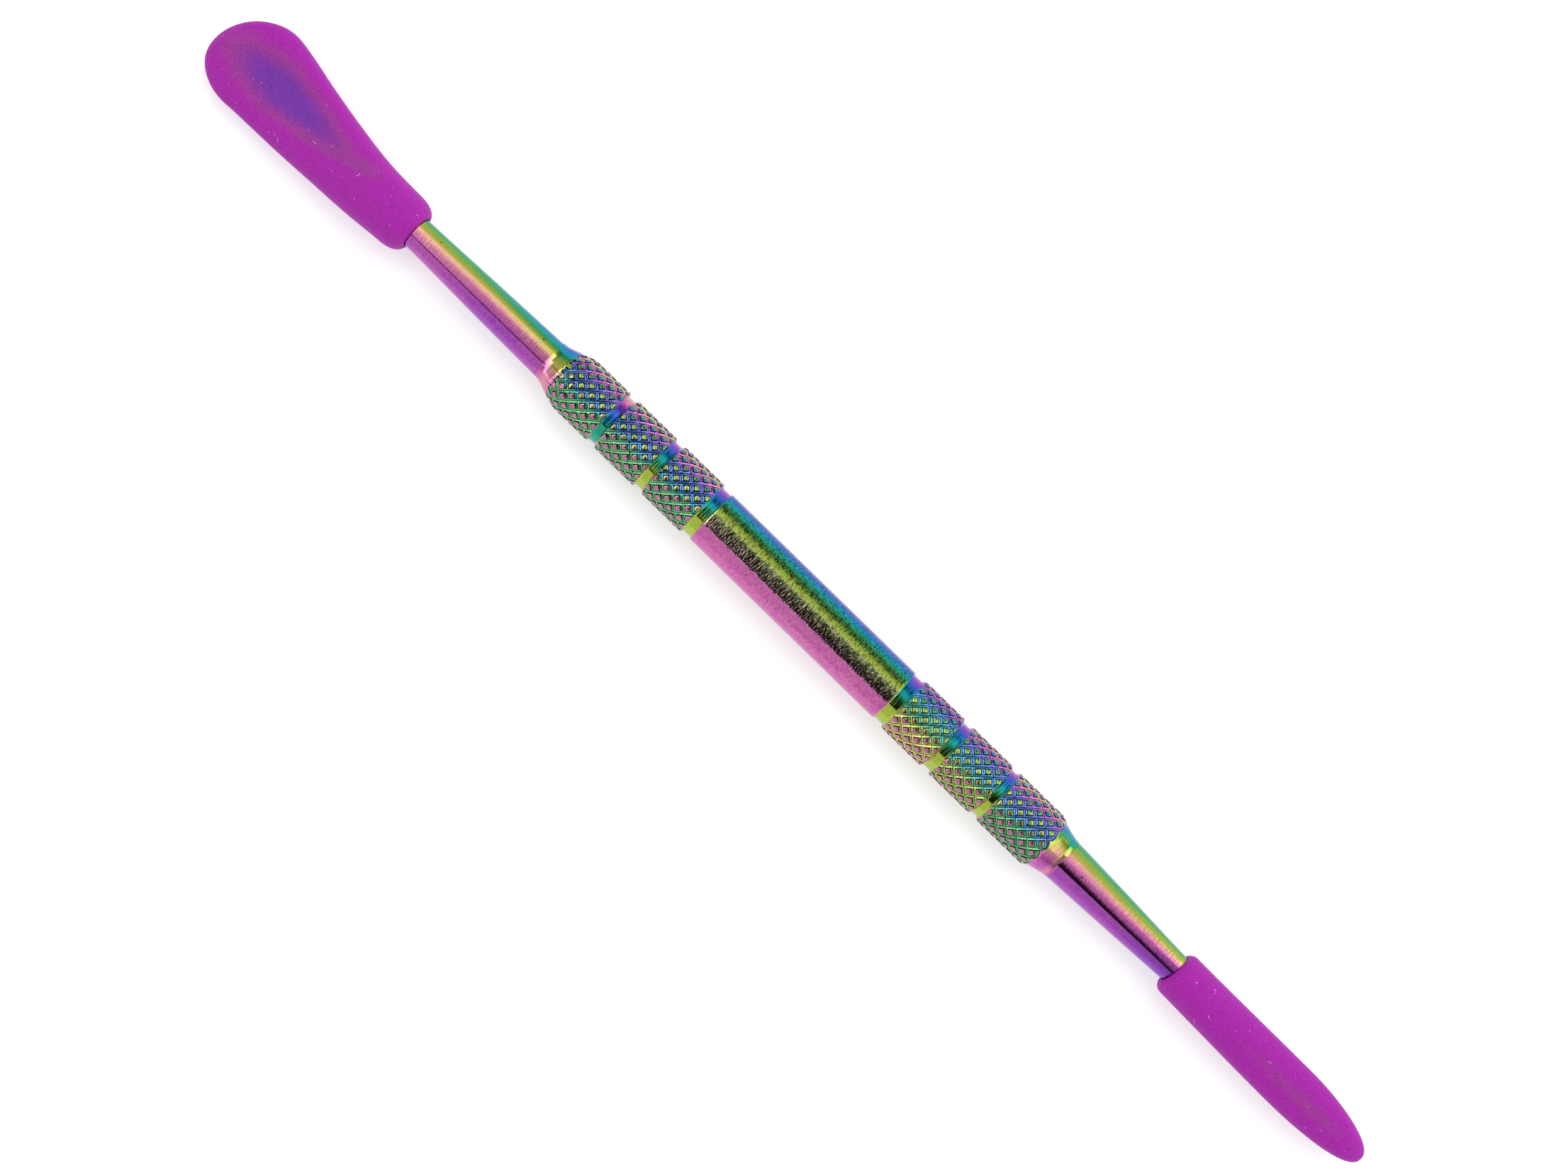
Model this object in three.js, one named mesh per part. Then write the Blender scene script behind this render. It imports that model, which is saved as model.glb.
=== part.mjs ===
// A double-ended cuticle pusher, in millimetres. The tool lies along X on the plane Z = 0, with the
// spoon at -X, the blade at +X and the spoon's bowl facing up. A grooved steel handle holds a shank
// pressed into each end, and a soft silicone cap is pushed over each working end.

import * as THREE from "three";

// Driving dimensions.
const toolLength = 130.2; // over both caps
const outlineMidY = 0.5; // how far the outline's middle lies from the handle's axis, towards +Y
const bandRadius = 2.62; // knurled bands, over the crests
const barrelRadius = 2.5; // plain middle of the handle
const grooveRadius = 2.35;
const bandWallRun = 0.28; // how far along X a groove's sloping wall reaches at the end of a band
const barrelWallRun = 0.1; // and at the ends of the barrel
const crestRound = 0.04; // how far the rounded top corner of a wall is below its crest

const axisHeight = bandRadius; // the bands rest on the table
const spoonNeckRadius = 1.75; // each neck where it leaves the handle
const bladeNeckRadius = 1.91;
const seamStep = 0.02; // the handle's end stands this proud of the neck, and this far off its shoulder
const spigotRadius = 1.07; // the hidden stems pressed into the handle
const spigotLength = 8;
const pressGap = 0.03;

const capGap = 0.05; // between a cap's cavity and the steel in it
const handleSides = 48;
const capSides = 32;

// The handle's stations along X: [start, end] of each knurled band and of the plain barrel, at the
// foot of its walls. The first and the last band run out onto a cone instead, from their crest.
const leftBands = [
  [-24.2, -20.32],
  [-19.79, -15.07],
  [-14.5, -9.72],
];
const barrel = [-8.97, 11.85];
const rightBands = [
  [12.67, 17.44],
  [18.03, 22.9],
  [23.37, 28.55],
];
const spoonCone = { x: -24.75, radius: 2.5 }; // the wide end of each cone
const bladeCone = { x: 29.1, radius: 2.29 };
const spoonSeamX = -27.2; // where each neck leaves the handle
const bladeSeamX = 30.8;

const steel = { color: 0x9a6fa8, roughness: 0.28, metalness: 1 };
const silicone = { color: 0xa4309f, roughness: 0.55, metalness: 0 };

// A named mesh with its own material.
function namedMesh(name, geometry, finish) {
  const mesh = new THREE.Mesh(geometry, new THREE.MeshStandardMaterial(finish));
  mesh.name = name;
  return mesh;
}

// The half sizes of a round section.
function round(radius) {
  return { half: radius, up: radius, down: radius };
}

// Smooth columns through a table of stations in rising x: between two stations each column is a cubic
// whose slope at a station is the slope of the line through its two neighbours.
function smoothStations(rows) {
  const columns = Object.keys(rows[0]).filter((column) => column !== "x");
  const slopeAt = (i, column) => {
    const before = rows[Math.max(i - 1, 0)];
    const after = rows[Math.min(i + 1, rows.length - 1)];
    return (after[column] - before[column]) / (after.x - before.x);
  };
  return (x) => {
    const passed = rows.filter((row) => row.x < x).length;
    const low = THREE.MathUtils.clamp(passed - 1, 0, rows.length - 2);
    const [a, b] = [rows[low], rows[low + 1]];
    const span = b.x - a.x;
    const t = THREE.MathUtils.clamp((x - a.x) / span, 0, 1);
    const station = { x };
    for (const column of columns) {
      const [slopeA, slopeB] = [slopeAt(low, column), slopeAt(low + 1, column)];
      station[column] =
        (2 * t ** 3 - 3 * t ** 2 + 1) * a[column] +
        (t ** 3 - 2 * t ** 2 + t) * span * slopeA +
        (3 * t ** 2 - 2 * t ** 3) * b[column] +
        (t ** 3 - t ** 2) * span * slopeB;
    }
    return station;
  };
}

// How much of its full size a rounded nose has at a distance from its tip: a quarter of an ellipse,
// or a fuller curve when power is over 2.
function noseShare(distance, length, power = 2) {
  const inward = THREE.MathUtils.clamp(1 - distance / length, 0, 1);
  return (1 - inward ** 2) ** (1 / power);
}

// One closed ring of points round a station. half is its half width, up and down its half heights above
// and below mid, side its offset from the axis in Y. corner 2 is an ellipse and more is boxier. bow
// bends the whole section down in the middle, as in a spoon's bowl, and dish hollows only the top.
function sectionRing(station, sides, grow = 0) {
  const { x, side, mid, half, up, down, corner = 2, bow = 0, dish = 0, dishHalf = 1 } = station;
  const ring = [];
  for (let k = 0; k < sides; k++) {
    const angle = (2 * Math.PI * k) / sides;
    const [c, s] = [Math.cos(angle), Math.sin(angle)];
    const across = Math.sign(c) * Math.abs(c) ** (2 / corner) * (half + grow);
    const height = (s > 0 ? up : down) + grow;
    const bowDrop = bow * (1 - (across / (half + grow)) ** 2);
    const hollow = s > 0 ? dish * Math.max(0, 1 - (across / dishHalf) ** 2) ** 1.5 : 0;
    const z = mid + Math.sign(s) * Math.abs(s) ** (2 / corner) * height - bowDrop - hollow;
    ring.push(new THREE.Vector3(x, side + across, z));
  }
  return ring;
}

// A closed surface through a row of rings, with a single point at each end.
function loftGeometry(firstPole, rings, lastPole) {
  const sides = rings[0].length;
  const points = [firstPole, ...rings.flat(), lastPole];
  const at = (ring, k) => 1 + ring * sides + (k % sides);
  const index = [];
  for (let k = 0; k < sides; k++) {
    index.push(0, at(0, k + 1), at(0, k));
    for (let r = 0; r < rings.length - 1; r++) {
      index.push(at(r, k), at(r, k + 1), at(r + 1, k));
      index.push(at(r, k + 1), at(r + 1, k + 1), at(r + 1, k));
    }
    index.push(at(rings.length - 1, k), at(rings.length - 1, k + 1), points.length - 1);
  }
  const geometry = new THREE.BufferGeometry().setFromPoints(points);
  geometry.setIndex(index);
  geometry.computeVertexNormals();
  return geometry;
}

// Turns every triangle of a geometry round, for a loft whose rings run the other way.
function turnedInsideOut(geometry) {
  const index = geometry.getIndex().array;
  for (let i = 0; i < index.length; i += 3) {
    [index[i + 1], index[i + 2]] = [index[i + 2], index[i + 1]];
  }
  geometry.computeVertexNormals();
  return geometry;
}

// Distances from a nose's tip, close together at the tip and wider apart behind it.
function noseDistances(length, count) {
  const distances = [];
  for (let k = 1; k <= count; k++) {
    distances.push(length * (1 - Math.cos((Math.PI / 2) * (k / count))));
  }
  return distances;
}

// ---- Handle: one turned bar with a socket in each end ----

function handleGeometry() {
  const socketRadius = spigotRadius + pressGap;
  const socketDepth = spigotLength + 1;
  const profile = [];
  const add = (x, radius) => profile.push(new THREE.Vector2(radius, x));
  // A sloping wall up from the groove's floor at foot, or down to it.
  const addWallUp = (foot, radius, run) => {
    add(foot, grooveRadius);
    add(foot + run * 0.75, radius - crestRound);
    add(foot + run * 1.3, radius);
  };
  const addWallDown = (foot, radius, run) => {
    add(foot - run * 1.3, radius);
    add(foot - run * 0.75, radius - crestRound);
    add(foot, grooveRadius);
  };
  // A cone that leaves the neck in a soft fillet: the share of the climb at each share of its length.
  const filletSteps = [0, 0.08, 0.25, 0.45, 0.7, 0.9, 1];
  const climb = (share) => (share < 0.3 ? share ** 2 / 0.51 : (share - 0.15) / 0.85);
  const addCone = (seamX, neckRadius, cone, steps) => {
    for (const share of steps) {
      const radius = THREE.MathUtils.lerp(neckRadius + seamStep, cone.radius, climb(share));
      add(THREE.MathUtils.lerp(seamX, cone.x, share), radius);
    }
  };

  add(spoonSeamX + socketDepth, 0);
  add(spoonSeamX + socketDepth, socketRadius);
  add(spoonSeamX, socketRadius);
  addCone(spoonSeamX, spoonNeckRadius, spoonCone, filletSteps);
  add(leftBands[0][0], bandRadius);
  addWallDown(leftBands[0][1], bandRadius, bandWallRun);
  for (const [start, end] of [leftBands[1], leftBands[2]]) {
    addWallUp(start, bandRadius, bandWallRun);
    addWallDown(end, bandRadius, bandWallRun);
  }
  addWallUp(barrel[0], barrelRadius, barrelWallRun);
  addWallDown(barrel[1], barrelRadius, barrelWallRun);
  for (const [start, end] of [rightBands[0], rightBands[1]]) {
    addWallUp(start, bandRadius, bandWallRun);
    addWallDown(end, bandRadius, bandWallRun);
  }
  addWallUp(rightBands[2][0], bandRadius, bandWallRun);
  add(rightBands[2][1], bandRadius);
  addCone(bladeSeamX, bladeNeckRadius, bladeCone, [...filletSteps].reverse());
  add(bladeSeamX, socketRadius);
  add(bladeSeamX - socketDepth, socketRadius);
  add(bladeSeamX - socketDepth, 0);
  return new THREE.LatheGeometry(profile, handleSides);
}

const handle = namedMesh("handle", handleGeometry(), steel);
handle.rotation.z = -Math.PI / 2;
handle.position.z = axisHeight;

// ---- Spoon shank: round neck flowing into a bowl that faces up ----

const spoonTipX = -64.15;
const spoonNoseLength = 3.4;
const spoonStations = smoothStations([
  { x: spoonTipX, side: -0.15, mid: 2.0, half: 2.95, up: 0.4, down: 0.4, bow: 0.6 },
  { x: -60.8, side: 0.45, mid: 1.92, half: 3.1, up: 0.43, down: 0.43, bow: 0.7 },
  { x: -58, side: 0.35, mid: 1.96, half: 2.95, up: 0.46, down: 0.46, bow: 0.65 },
  { x: -54, side: 0.05, mid: 2.14, half: 2.3, up: 0.6, down: 0.6, bow: 0.35 },
  { x: -50, side: -0.16, mid: 2.4, half: 1.72, up: 0.85, down: 0.85, bow: 0.08 },
  { x: -46, side: -0.2, mid: 2.58, half: 1.4, up: 1.22, down: 1.22, bow: 0 },
  { x: -42.1, side: -0.16, mid: axisHeight, ...round(1.38), bow: 0 },
  { x: -34, side: -0.1, mid: axisHeight, ...round(1.6), bow: 0 },
  { x: spoonSeamX, side: -0.04, mid: axisHeight, ...round(spoonNeckRadius), bow: 0 },
]);

// A station of the spoon with its front end rounded off towards a tip.
function spoonStation(x, tipX) {
  const station = spoonStations(Math.max(x, spoonTipX));
  const share = noseShare(x - tipX, spoonNoseLength);
  const thin = noseShare(x - tipX, 0.5);
  return {
    ...station,
    x,
    half: station.half * share,
    up: station.up * thin,
    down: station.down * thin,
    bow: station.bow * share ** 2,
  };
}

const spoonBodyXs = [-59.6, -58, -56, -54, -52, -50, -48, -46, -44, -42.1];
const neckXs = [-38, -34, -30];

function spoonShankGeometry() {
  const noseXs = noseDistances(spoonNoseLength, 7).map((distance) => spoonTipX + distance);
  const shoulderX = spoonSeamX - seamStep;
  const xs = [...noseXs, ...spoonBodyXs, ...neckXs, shoulderX];
  const rings = xs.map((x) => sectionRing(spoonStation(x, spoonTipX), capSides));
  rings.push(spigotRing(shoulderX));
  rings.push(spigotRing(spoonSeamX + spigotLength));
  const tip = spoonStations(spoonTipX);
  return loftGeometry(
    new THREE.Vector3(spoonTipX, tip.side, tip.mid),
    rings,
    new THREE.Vector3(spoonSeamX + spigotLength, 0, axisHeight),
  );
}

// A ring of the hidden round stem on the handle's axis.
function spigotRing(x) {
  return sectionRing({ x, side: 0, mid: axisHeight, ...round(spigotRadius) }, capSides);
}

const spoonShank = namedMesh("spoon_shank", spoonShankGeometry(), steel);

// ---- Blade shank: round neck thinning to a narrow round-tipped blade ----

const bladeTipX = 64.2;
const bladeNoseLength = 5;
const bladeMouthX = 43.5;
const bladeStations = smoothStations([
  { x: bladeSeamX, side: 0, mid: axisHeight, ...round(bladeNeckRadius) },
  { x: 33, side: 0, mid: axisHeight, ...round(1.82) },
  { x: 38, side: 0, mid: axisHeight, ...round(1.6) },
  { x: bladeMouthX, side: 0, mid: axisHeight, ...round(1.34) },
  { x: 48, side: 0, mid: axisHeight, half: 1.26, up: 1.0, down: 1.0 },
  { x: 53, side: 0, mid: axisHeight, half: 1.22, up: 0.6, down: 0.6 },
  { x: 58, side: 0, mid: axisHeight, half: 1.2, up: 0.42, down: 0.42 },
  { x: bladeTipX, side: 0, mid: axisHeight, half: 1.1, up: 0.35, down: 0.35 },
]);

// A station of the blade with its far end rounded off towards a tip.
function bladeStation(x, tipX) {
  const station = bladeStations(Math.min(x, bladeTipX));
  const share = noseShare(tipX - x, bladeNoseLength);
  const thin = noseShare(tipX - x, 0.5);
  return {
    ...station,
    x,
    half: station.half * share,
    up: station.up * thin,
    down: station.down * thin,
  };
}

const bladeBodyXs = [bladeMouthX, 45.5, 48, 50.5, 53, 55.5, 58];

function bladeShankGeometry() {
  const noseXs = noseDistances(bladeNoseLength, 7).map((distance) => bladeTipX - distance);
  const shoulderX = bladeSeamX + seamStep;
  const xs = [shoulderX, 33, 35.5, 38, 41, ...bladeBodyXs, ...noseXs.reverse()];
  const rings = xs.map((x) => sectionRing(bladeStation(x, bladeTipX), capSides));
  rings.unshift(spigotRing(shoulderX));
  rings.unshift(spigotRing(bladeSeamX - spigotLength));
  return loftGeometry(
    new THREE.Vector3(bladeSeamX - spigotLength, 0, axisHeight),
    rings,
    new THREE.Vector3(bladeTipX, 0, axisHeight),
  );
}

const bladeShank = namedMesh("blade_shank", bladeShankGeometry(), steel);

// ---- Caps: soft hollow sleeves, each with a rounded lip round the neck ----

// The share of its full size that a cap has at a distance in from its mouth, where the lip rounds off.
function lipShare(distance, length, drop) {
  return 1 - drop * (1 - noseShare(distance, length));
}

// Lays the parts of a ring that would be under the table flat on it.
function restingOnTable(ring) {
  return ring.map((point) => new THREE.Vector3(point.x, point.y, Math.max(point.z, 0)));
}

const lipSteps = [1, 0.7, 0.42, 0.2, 0.06, 0]; // how far in from the mouth, as shares of the lip's length

const spoonCapTipX = -toolLength / 2;
const spoonCapMouthX = -42.1;
const spoonCapNoseLength = 4.6;
const spoonCapLip = { length: 1.7, drop: 0.36 };
const spoonCapStations = smoothStations([
  { x: spoonCapTipX, side: -0.23, mid: 1.55, half: 4.02, up: 1.35, down: 2.1, corner: 2.5, dish: 0 },
  { x: -63.4, side: 0.16, mid: 1.55, half: 4.02, up: 1.45, down: 2.1, corner: 2.5, dish: 0.15 },
  { x: -60.5, side: 0.505, mid: 1.6, half: 4.02, up: 1.62, down: 2.0, corner: 2.5, dish: 0.75 },
  { x: -58.66, side: 0.42, mid: 1.65, half: 3.88, up: 1.68, down: 2.0, corner: 2.5, dish: 0.85 },
  { x: -55, side: 0.07, mid: 1.85, half: 3.46, up: 1.8, down: 2.1, corner: 2.45, dish: 0.65 },
  { x: -51.3, side: -0.18, mid: 2.15, half: 3.05, up: 2.05, down: 2.35, corner: 2.35, dish: 0.3 },
  { x: -47.6, side: -0.35, mid: 2.45, half: 2.72, up: 2.3, down: 2.55, corner: 2.2, dish: 0.05 },
  { x: -43.95, side: -0.27, mid: 2.6, half: 2.5, up: 2.45, down: 2.6, corner: 2.1, dish: 0 },
  { x: spoonCapMouthX, side: -0.22, mid: axisHeight, half: 2.48, up: 2.45, down: 2.55, corner: 2, dish: 0 },
]);

function spoonCapStation(x) {
  const station = spoonCapStations(x);
  const fromTip = x - spoonCapTipX;
  const lip = lipShare(spoonCapMouthX - x, spoonCapLip.length, spoonCapLip.drop);
  const height = noseShare(fromTip, 2.2) * lip;
  return {
    ...station,
    half: station.half * noseShare(fromTip, spoonCapNoseLength) * lip,
    up: station.up * height,
    down: station.down * height,
    dishHalf: station.half * 0.8,
  };
}

function spoonCapGeometry() {
  const noseXs = noseDistances(spoonCapNoseLength, 8).map((distance) => spoonCapTipX + distance);
  const outerXs = [...noseXs, -58.66, -56.8, -55, -53.1, -51.3, -49.5, -47.6, -45.7];
  const lipXs = lipSteps.map((share) => spoonCapMouthX - share * spoonCapLip.length);
  const outer = [...outerXs, ...lipXs].map((x) =>
    restingOnTable(sectionRing(spoonCapStation(x), capSides)),
  );
  const cavityTipX = spoonTipX - 0.12;
  const cavityNose = noseDistances(spoonNoseLength, 7).map((distance) => cavityTipX + distance);
  const cavity = [...cavityNose, ...spoonBodyXs]
    .reverse()
    .map((x) => sectionRing(spoonStation(x, cavityTipX), capSides, capGap));
  const tip = spoonCapStations(spoonCapTipX);
  const cavityTip = spoonStations(spoonTipX);
  return loftGeometry(
    new THREE.Vector3(spoonCapTipX, tip.side, tip.mid),
    [...outer, ...cavity],
    new THREE.Vector3(cavityTipX - 0.02, cavityTip.side, cavityTip.mid),
  );
}

const spoonCap = namedMesh("spoon_cap", spoonCapGeometry(), silicone);

const bladeCapTipX = toolLength / 2;
const bladeCapNoseLength = 8;
const bladeCapLip = { length: 0.7, drop: 0.3 };
const mouthSlant = 0.09; // how far the blade cap's mouth leans along X for each millimetre of Y
const slantLength = 3; // how far in from the mouth the lean fades out
const bladeCapStations = smoothStations([
  { x: bladeMouthX, side: -0.13, mid: axisHeight, half: 2.04, up: 2.04, down: 2.04, corner: 2 },
  { x: 46.5, side: -0.2, mid: axisHeight, half: 2.06, up: 2.0, down: 2.0, corner: 2.1 },
  { x: 51.5, side: -0.28, mid: axisHeight, half: 2.11, up: 1.8, down: 1.8, corner: 2.3 },
  { x: 55.5, side: -0.33, mid: axisHeight, half: 2.14, up: 1.62, down: 1.62, corner: 2.4 },
  { x: 60, side: -0.36, mid: axisHeight, half: 2.12, up: 1.5, down: 1.5, corner: 2.4 },
  { x: bladeCapTipX, side: -0.5, mid: axisHeight, half: 2.1, up: 1.45, down: 1.45, corner: 2.3 },
]);

function bladeCapStation(x) {
  const station = bladeCapStations(x);
  const fromTip = bladeCapTipX - x;
  const lip = lipShare(x - bladeMouthX, bladeCapLip.length, bladeCapLip.drop);
  const height = noseShare(fromTip, 3) * lip;
  return {
    ...station,
    half: station.half * noseShare(fromTip, bladeCapNoseLength, 2.3) * lip,
    up: station.up * height,
    down: station.down * height,
  };
}

// Leans a ring near the mouth, so that the mouth isn't quite square to the neck.
function slantedMouth(ring) {
  return ring.map((point) => {
    const share = THREE.MathUtils.clamp(1 - (point.x - bladeMouthX) / slantLength, 0, 1);
    return new THREE.Vector3(point.x + mouthSlant * point.y * share, point.y, point.z);
  });
}

function bladeCapGeometry() {
  const noseXs = noseDistances(bladeCapNoseLength, 9).map((distance) => bladeCapTipX - distance);
  const outerXs = [...noseXs, 55.5, 53.5, 51.5, 49, 46.5];
  const lipXs = lipSteps.map((share) => bladeMouthX + share * bladeCapLip.length);
  const outer = [...outerXs, ...lipXs].map((x) =>
    slantedMouth(sectionRing(bladeCapStation(x), capSides)),
  );
  const cavityTipX = bladeTipX + 0.12;
  const cavityNose = noseDistances(bladeNoseLength, 7).map((distance) => cavityTipX - distance);
  const cavity = [...cavityNose, ...[...bladeBodyXs].reverse()]
    .reverse()
    .map((x) => slantedMouth(sectionRing(bladeStation(x, cavityTipX), capSides, capGap)));
  const tip = bladeCapStations(bladeCapTipX);
  const geometry = loftGeometry(
    new THREE.Vector3(bladeCapTipX, tip.side, tip.mid),
    [...outer, ...cavity],
    new THREE.Vector3(cavityTipX + 0.02, 0, axisHeight),
  );
  return turnedInsideOut(geometry);
}

const bladeCap = namedMesh("blade_cap", bladeCapGeometry(), silicone);

// ---- Assembly ----

const tool = new THREE.Group();
tool.add(handle, spoonShank, bladeShank, spoonCap, bladeCap);
tool.position.y = -outlineMidY;

const cuticlePusher = new THREE.Group();
cuticlePusher.add(tool);

export default cuticlePusher;
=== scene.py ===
import math
import bpy
import numpy as np
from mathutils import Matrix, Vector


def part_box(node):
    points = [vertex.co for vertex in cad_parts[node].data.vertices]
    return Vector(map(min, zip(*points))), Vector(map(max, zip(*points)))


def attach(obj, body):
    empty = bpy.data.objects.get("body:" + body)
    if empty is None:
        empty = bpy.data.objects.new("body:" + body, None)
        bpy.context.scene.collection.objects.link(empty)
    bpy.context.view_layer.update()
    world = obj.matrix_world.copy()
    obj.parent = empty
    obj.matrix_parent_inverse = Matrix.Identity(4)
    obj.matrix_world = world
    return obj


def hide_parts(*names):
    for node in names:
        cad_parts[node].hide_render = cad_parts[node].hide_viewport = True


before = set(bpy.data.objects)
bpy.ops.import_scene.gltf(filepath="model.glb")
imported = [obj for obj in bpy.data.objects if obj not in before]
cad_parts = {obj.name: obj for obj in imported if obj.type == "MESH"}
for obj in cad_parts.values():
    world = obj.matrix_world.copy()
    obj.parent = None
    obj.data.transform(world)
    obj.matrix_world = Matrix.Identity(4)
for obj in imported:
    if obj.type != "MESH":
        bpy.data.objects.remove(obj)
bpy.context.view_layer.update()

# Double-ended cuticle pusher. Lengths are in millimetres in the tables and become metres in the meshes.
# x runs along the tool from the spoon to the blade, y across it from the handle's axis, z up from the floor.
mm = 0.001
handleLow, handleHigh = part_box("handle")
axisY = (handleLow.y + handleHigh.y) / 2
axisZ = (handleLow.z + handleHigh.z) / 2 / mm
toolHalf = (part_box("blade_cap")[1].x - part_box("spoon_cap")[0].x) / 2 / mm


def toLinear(hexColour):
    # sRGB hex to linear red, green, blue and alpha. A channel from 0 to 1 is divided by 12.92 where it is
    # very dark, and elsewhere has 0.055 added, is divided by 1.055 and is raised to the power 2.4.
    channels = [int(hexColour[i:i + 2], 16) / 255 for i in (1, 3, 5)]
    return [c / 12.92 if c <= 0.04045 else ((c + 0.055) / 1.055) ** 2.4 for c in channels] + [1.0]


def smoothStep(low, high, value):
    # 0 below low, 1 above high, and between them the S curve of three squares less two cubes
    t = np.clip((value - low) / (high - low), 0, 1)
    return t * t * (3 - 2 * t)


def smoothColumns(stations, x):
    # Every column of a station table at the places x. Between two stations a column is the cubic whose
    # slope at a station is the slope of the line through its two neighbours.
    xs = np.array(stations["x"], float)
    low = np.clip(np.searchsorted(xs, x) - 1, 0, len(xs) - 2)
    span = xs[low + 1] - xs[low]
    t = np.clip((x - xs[low]) / span, 0, 1)
    columns = {"x": x}
    for name, values in stations.items():
        if name == "x":
            continue
        v = np.array(values, float)
        before = np.clip(np.arange(len(xs)) - 1, 0, None)
        after = np.clip(np.arange(len(xs)) + 1, None, len(xs) - 1)
        slope = (v[after] - v[before]) / (xs[after] - xs[before])
        columns[name] = ((2 * t**3 - 3 * t**2 + 1) * v[low] + (t**3 - 2 * t**2 + t) * span * slope[low]
                         + (3 * t**2 - 2 * t**3) * v[low + 1] + (t**3 - t**2) * span * slope[low + 1])
    return columns


def noseShare(distance, length, power=2.0):
    # how much of its full size a rounded nose has at a distance from its tip: a quarter of an ellipse for
    # a power of 2, and blunter above that
    inward = np.clip(1 - distance / length, 0, 1)
    return np.clip(1 - inward**2, 0, 1) ** (1 / power)


def noseDistances(length, count):
    # distances from a tip, as one minus a cosine: close together at the tip and wider apart behind it
    return length * (1 - np.cos(np.pi / 2 * np.arange(1, count + 1) / count))


def sectionGrid(s, sides, grow=0.0):
    # Rings round the stations in s. Across, a ring is a cosine times the half width, and up, a sine times
    # the half height above or below mid, both to the power 2/corner. bow bends the ring down in its middle
    # by a parabola across it, and dish hollows only the top.
    angle = 2 * np.pi * np.arange(sides) / sides
    c, sn = np.cos(angle)[None, :], np.sin(angle)[None, :]
    col = {name: np.asarray(values, float)[:, None] for name, values in s.items()}
    zero = np.zeros_like(col["x"])
    power = 2 / col.get("corner", zero + 2)
    half = col["half"] + grow
    across = np.sign(c) * np.abs(c) ** power * half
    height = np.where(sn > 0, col["up"], col["down"]) + grow
    share = across / np.maximum(half, 1e-6)
    bowDrop = col.get("bow", zero) * (1 - share**2)
    hollow = np.clip(1 - (across / col.get("dishHalf", zero + 1)) ** 2, 0, 1) ** 1.5
    dishDrop = np.where(sn > 0, col.get("dish", zero) * hollow, 0)
    z = col["mid"] + np.sign(sn) * np.abs(sn) ** power * height - bowDrop - dishDrop
    return np.stack([np.broadcast_to(col["x"], z.shape), col["side"] + across, z], axis=-1)


def closedMesh(name, rings, firstPole, lastPole, turnFaces=False, risingSplit=None):
    # One closed surface through a grid of rings with a single point at each end. Neighbouring rings are
    # joined by quads, and each end ring by a fan of triangles to its pole. With risingSplit, quads become
    # two triangles each, split along the diagonal that rises with x where it is True. turnFaces is for
    # rings that set out towards -X, whose faces would otherwise point inwards.
    rows, sides = rings.shape[:2]
    points = np.concatenate([[firstPole], rings.reshape(-1, 3), [lastPole]])
    k = np.arange(sides)
    nextK = (k + 1) % sides
    r = 1 + np.arange(rows - 1)[:, None] * sides
    corners = [r + k, r + nextK, r + sides + nextK, r + sides + k]
    quads = np.stack(corners, axis=-1).reshape(-1, 4)
    if risingSplit is None:
        faces = [quads]
    else:
        rising = risingSplit.ravel()
        up, down = quads[rising], quads[~rising]
        faces = [up[:, [0, 1, 3]], up[:, [1, 2, 3]], down[:, [0, 1, 2]], down[:, [0, 2, 3]]]
    last = len(points) - 1
    faces.append(np.stack([np.zeros_like(k), 1 + nextK, 1 + k], axis=-1))
    end = 1 + (rows - 1) * sides
    faces.append(np.stack([end + k, end + nextK, np.full_like(k, last)], axis=-1))
    if turnFaces:
        faces = [f[:, ::-1] for f in faces]
    mesh = bpy.data.meshes.new(name)
    place = points * mm
    place[:, 1] += axisY
    mesh.from_pydata(place.tolist(), [], [f for group in faces for f in group.tolist()])
    mesh.update()
    mesh.polygons.foreach_set("use_smooth", np.ones(len(mesh.polygons), bool))
    piece = bpy.data.objects.new(name, mesh)
    bpy.context.scene.collection.objects.link(piece)
    return piece


def addAttribute(piece, name, values, firstValue, lastValue):
    # one number for each point of a closed mesh, in the order of its rings
    flat = np.concatenate([[firstValue], np.asarray(values, np.float32).ravel(), [lastValue]])
    attribute = piece.data.attributes.new(name, "FLOAT", "POINT")
    attribute.data.foreach_set("value", flat.astype(np.float32))


def finishPiece(piece, body, node, material):
    # the piece's material, the body that it moves with, the CAD node that it stands for, and its slot
    piece.data.materials.append(material)
    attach(piece, body)
    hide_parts(node)
    print(f"{piece.name}: {len(piece.data.polygons)} faces")


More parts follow.
